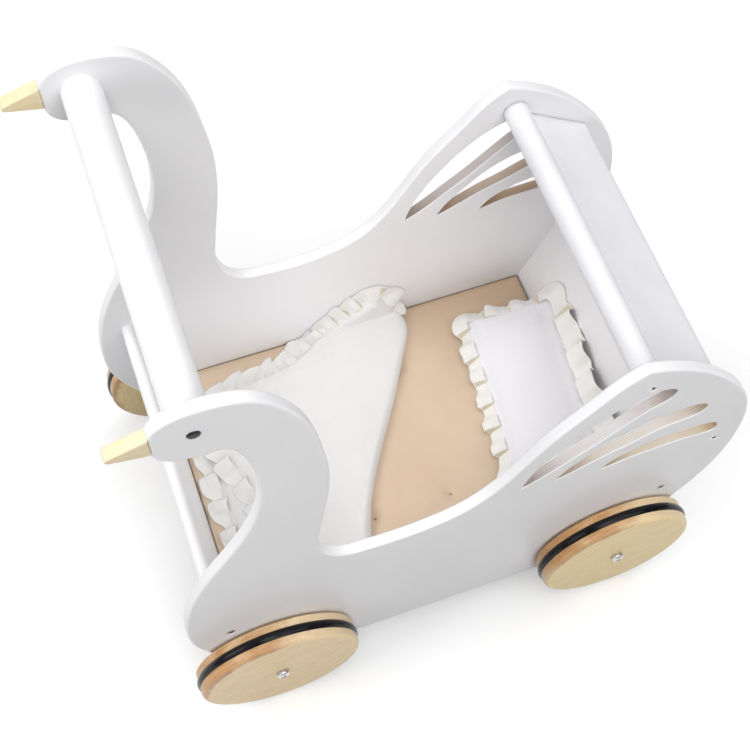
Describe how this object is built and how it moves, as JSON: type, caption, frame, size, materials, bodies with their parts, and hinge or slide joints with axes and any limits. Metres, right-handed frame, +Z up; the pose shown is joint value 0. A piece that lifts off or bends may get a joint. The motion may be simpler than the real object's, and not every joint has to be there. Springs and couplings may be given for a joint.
{
  "type": "doll pram",
  "caption": "Doll pram with two swan-shaped side panels joined by a handle bar, a cloth-covered hood, a tub with mattress, pillow and blanket, and wooden wheels with rubber rings.",
  "frame": {"origin": "centre of the bounding box in plan, on the floor under the wheels", "axes": "+X towards the tail and hood, -X towards the beaks and handle, Y across between the two panels, +Z up"},
  "size_m": [0.4922, 0.3398, 0.5503],
  "materials": {
    "white_paint": "satin white paint on plywood",
    "beak_wood": "clear satin lacquer on pale wood",
    "black_plastic": "gloss",
    "steel": "zinc plated",
    "white_cotton": "plain weave",
    "mattress_cover": "beige jersey over foam",
    "muslin": "crinkled double muslin",
    "wheel_wood": "clear satin lacquer",
    "black_rubber": "smooth",
    "brass": "plain"
  },
  "bodies": {
    "chassis": {"near_side_panel": "white_paint", "far_side_panel": "white_paint", "near_beak": "beak_wood", "far_beak": "beak_wood", "eye_caps": "black_plastic", "handle_bar": "white_paint", "handle_screws": "steel", "foot_wall": "white_paint", "tail_wall": "white_paint", "floor_board": "white_paint", "wall_screws": "steel", "hood_dowel": "white_paint", "hood_rail": "white_paint", "hood_screws": "steel", "hood_cloth": "white_cotton", "mattress": "mattress_cover", "wheel_screws": "steel", "wheel_washers": "steel", "wheel_bushes": "brass"},
    "front_near_wheel_set": {"front_near_wheel": "wheel_wood", "front_near_tyre": "black_rubber"},
    "front_far_wheel_set": {"front_far_wheel": "wheel_wood", "front_far_tyre": "black_rubber"},
    "rear_near_wheel_set": {"rear_near_wheel": "wheel_wood", "rear_near_tyre": "black_rubber"},
    "rear_far_wheel_set": {"rear_far_wheel": "wheel_wood", "rear_far_tyre": "black_rubber"},
    "pillow_body": {"pillow": "muslin"},
    "blanket_body": {"blanket": "muslin"}
  },
  "joints": [
    {"name": "front_near_wheel_spin", "type": "hinge", "parent": "chassis", "child": "front_near_wheel_set", "pos_m": [-0.1712, -0.15375, 0.0733], "axis": [0, 1, 0], "continuous": true},
    {"name": "front_far_wheel_spin", "type": "hinge", "parent": "chassis", "child": "front_far_wheel_set", "pos_m": [-0.1712, 0.15375, 0.0733], "axis": [0, 1, 0], "continuous": true},
    {"name": "rear_near_wheel_spin", "type": "hinge", "parent": "chassis", "child": "rear_near_wheel_set", "pos_m": [0.1501, -0.15375, 0.0733], "axis": [0, 1, 0], "continuous": true},
    {"name": "rear_far_wheel_spin", "type": "hinge", "parent": "chassis", "child": "rear_far_wheel_set", "pos_m": [0.1501, 0.15375, 0.0733], "axis": [0, 1, 0], "continuous": true},
    {"name": "pillow_lift", "type": "slide", "parent": "chassis", "child": "pillow_body", "axis": [-0.349, 0, 0.9371], "range_m": [0, 0.56]},
    {"name": "blanket_lift", "type": "slide", "parent": "chassis", "child": "blanket_body", "axis": [0.05, 0, 0.9987], "range_m": [0, 0.45]}
  ]
}
